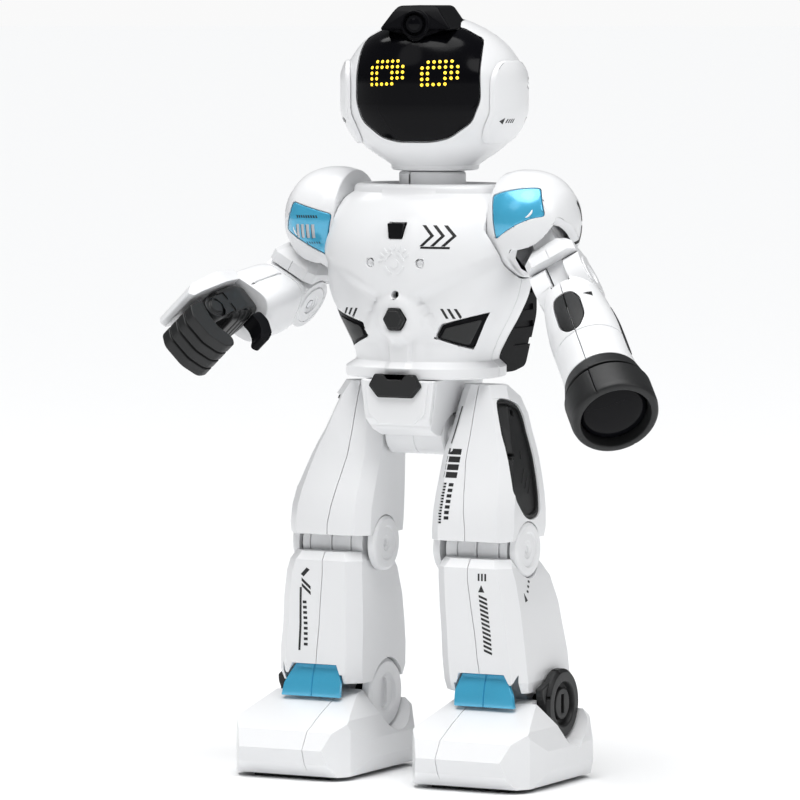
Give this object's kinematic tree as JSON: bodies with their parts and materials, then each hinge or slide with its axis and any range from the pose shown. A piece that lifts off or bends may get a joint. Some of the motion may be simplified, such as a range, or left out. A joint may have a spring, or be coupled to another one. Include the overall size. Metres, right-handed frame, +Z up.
{
  "type": "walking toy robot",
  "caption": "Walking humanoid toy robot with jointed arms and legs, a dark visor head, a gripping hand, a horn-shaped hand and wheeled feet.",
  "frame": {"origin": "bottom centre of the bounding box, on the surface the robot stands on", "axes": "+Z up, the robot faces -Y, +X is the robot's left side"},
  "size_m": [0.2506, 0.1412, 0.36],
  "materials": {
    "white_shell": "glossy moulded ABS",
    "dark_grey": "satin dark grey ABS",
    "black_satin": "satin black ABS",
    "black_gloss": "smoked gloss acrylic",
    "blue_pearl": "pearl blue lacquer",
    "display_yellow": "lit yellow dots behind the visor",
    "board_green": "solder-masked board",
    "steel": "plain steel pin",
    "tyre_rubber": "moulded rubber"
  },
  "bodies": {
    "body": {"torso_front_shell": "white_shell", "torso_rear_shell": "white_shell", "sensor_window": "black_gloss", "side_vent_left": "dark_grey", "side_vent_right": "dark_grey", "belt_plate": "dark_grey", "pelvis_shell": "white_shell", "hip_axle": "white_shell", "backpack": "black_satin", "main_board": "board_green"},
    "head": {"head_front_shell": "white_shell", "head_rear_shell": "white_shell", "visor": "black_gloss", "camera_pod": "black_satin", "ear_cover_left": "white_shell", "ear_cover_right": "white_shell", "eye_display": "display_yellow", "neck_tube": "white_shell"},
    "abdomen_button": {"abdomen_button": "dark_grey"},
    "power_switch": {"power_switch": "dark_grey"},
    "left_hand": {"left_horn_cup": "dark_grey", "left_horn_lens": "black_gloss"},
    "left_forearm": {"left_forearm_inner": "white_shell", "left_forearm_outer": "white_shell", "left_forearm_window": "black_gloss", "left_elbow_pin": "steel"},
    "right_forearm": {"right_forearm_shell": "white_shell", "right_elbow_pin": "steel"},
    "right_hand": {"right_palm": "dark_grey", "right_hand_cover": "white_shell", "right_thumb": "black_satin"},
    "right_fingers": {"right_fingers": "dark_grey"},
    "left_shoulder": {"left_shoulder_cap": "white_shell", "left_shoulder_panel": "blue_pearl"},
    "left_upper_arm": {"left_upper_arm": "white_shell"},
    "left_thigh": {"left_thigh_inner": "white_shell", "left_thigh_outer": "white_shell", "left_battery_door": "dark_grey", "left_knee_axle": "white_shell"},
    "left_shin": {"left_shin_inner": "white_shell", "left_shin_outer": "white_shell", "left_ankle_axle": "dark_grey"},
    "left_foot": {"left_foot_shell": "white_shell", "left_ankle_cover": "blue_pearl", "left_foot_sole": "dark_grey"},
    "left_wheels": {"left_drive_wheels": "tyre_rubber"},
    "right_shoulder": {"right_shoulder_cap": "white_shell", "right_shoulder_panel": "blue_pearl"},
    "right_upper_arm": {"right_upper_arm": "white_shell"},
    "right_thigh": {"right_thigh_inner": "white_shell", "right_thigh_outer": "white_shell", "right_battery_door": "dark_grey", "right_knee_axle": "white_shell"},
    "right_shin": {"right_shin_inner": "white_shell", "right_shin_outer": "white_shell", "right_ankle_axle": "dark_grey"},
    "right_foot": {"right_foot_shell": "white_shell", "right_ankle_cover": "blue_pearl", "right_foot_sole": "dark_grey"},
    "right_wheels": {"right_drive_wheels": "tyre_rubber"}
  },
  "joints": [
    {"name": "head_turn", "type": "hinge", "parent": "body", "child": "head", "pos_m": [-0.02019, 0.02004, 0.28], "axis": [0, 0, 1], "range_deg": [-56, 34]},
    {"name": "abdomen_button_press", "type": "slide", "parent": "body", "child": "abdomen_button", "axis": [0, 1, 0], "range_m": [0, 0.0012], "stiffness_N_per_m": 300},
    {"name": "power_switch_slide", "type": "slide", "parent": "body", "child": "power_switch", "axis": [1, 0, 0], "range_m": [0, 0.004]},
    {"name": "left_shoulder_swing", "type": "hinge", "parent": "body", "child": "left_shoulder", "pos_m": [0.03781, 0.02004, 0.259], "axis": [-1, 0, 0], "range_deg": [-60, 90]},
    {"name": "left_arm_spread", "type": "hinge", "parent": "left_shoulder", "child": "left_upper_arm", "pos_m": [0.03781, 0.0181, 0.2555], "axis": [0, -0.8746, 0.4848], "range_deg": [-17, 13]},
    {"name": "left_elbow_bend", "type": "hinge", "parent": "left_upper_arm", "child": "left_forearm", "pos_m": [0.05763, 0.00411, 0.23027], "axis": [-0.8241, -0.2746, -0.4954], "range_deg": [-14, 64]},
    {"name": "left_wrist_turn", "type": "hinge", "parent": "left_forearm", "child": "left_hand", "pos_m": [0.09517, -0.03682, 0.19052], "axis": [-0.5496, 0.5993, 0.5821], "range_deg": [-90, 90]},
    {"name": "right_shoulder_swing", "type": "hinge", "parent": "body", "child": "right_shoulder", "pos_m": [-0.07819, 0.02004, 0.259], "axis": [-1, 0, 0], "range_deg": [-33, 117]},
    {"name": "right_arm_spread", "type": "hinge", "parent": "right_shoulder", "child": "right_upper_arm", "pos_m": [-0.07819, 0.0199, 0.255], "axis": [0, 0.9994, -0.0349], "range_deg": [-13, 17]},
    {"name": "right_elbow_bend", "type": "hinge", "parent": "right_upper_arm", "child": "right_forearm", "pos_m": [-0.09569, 0.01884, 0.22471], "axis": [-0.866, 0.0174, 0.4997], "range_deg": [-76, 3]},
    {"name": "right_wrist_turn", "type": "hinge", "parent": "right_forearm", "child": "right_hand", "pos_m": [-0.10065, -0.02122, 0.21751], "axis": [-0.121, -0.977, -0.1755], "range_deg": [-90, 20]},
    {"name": "right_finger_grip", "type": "hinge", "parent": "right_hand", "child": "right_fingers", "pos_m": [-0.10493, -0.05058, 0.21301], "axis": [0.7521, -0.2056, 0.6262], "range_deg": [-14, 10]},
    {"name": "left_hip_swing", "type": "hinge", "parent": "body", "child": "left_thigh", "pos_m": [0.00381, 0.01004, 0.16], "axis": [-1, 0, 0], "range_deg": [-18, 24]},
    {"name": "left_knee_bend", "type": "hinge", "parent": "left_thigh", "child": "left_shin", "pos_m": [0.01681, 0.00304, 0.1085], "axis": [1, 0, 0], "range_deg": [-8, 24]},
    {"name": "left_ankle_tilt", "type": "hinge", "parent": "left_shin", "child": "left_foot", "pos_m": [0.02631, 0.01604, 0.036], "axis": [1, 0, 0], "range_deg": [-9, 9]},
    {"name": "left_wheel_roll", "type": "hinge", "parent": "left_foot", "child": "left_wheels", "pos_m": [0.02651, 0.01604, 0.008], "axis": [1, 0, 0], "continuous": true},
    {"name": "right_hip_swing", "type": "hinge", "parent": "body", "child": "right_thigh", "pos_m": [-0.04419, 0.01004, 0.16], "axis": [-1, 0, 0], "range_deg": [-18, 24]},
    {"name": "right_knee_bend", "type": "hinge", "parent": "right_thigh", "child": "right_shin", "pos_m": [-0.05719, 0.00304, 0.1085], "axis": [1, 0, 0], "range_deg": [-8, 24]},
    {"name": "right_ankle_tilt", "type": "hinge", "parent": "right_shin", "child": "right_foot", "pos_m": [-0.06669, 0.01604, 0.036], "axis": [1, 0, 0], "range_deg": [-9, 9]},
    {"name": "right_wheel_roll", "type": "hinge", "parent": "right_foot", "child": "right_wheels", "pos_m": [-0.06689, 0.01604, 0.008], "axis": [1, 0, 0], "continuous": true}
  ]
}
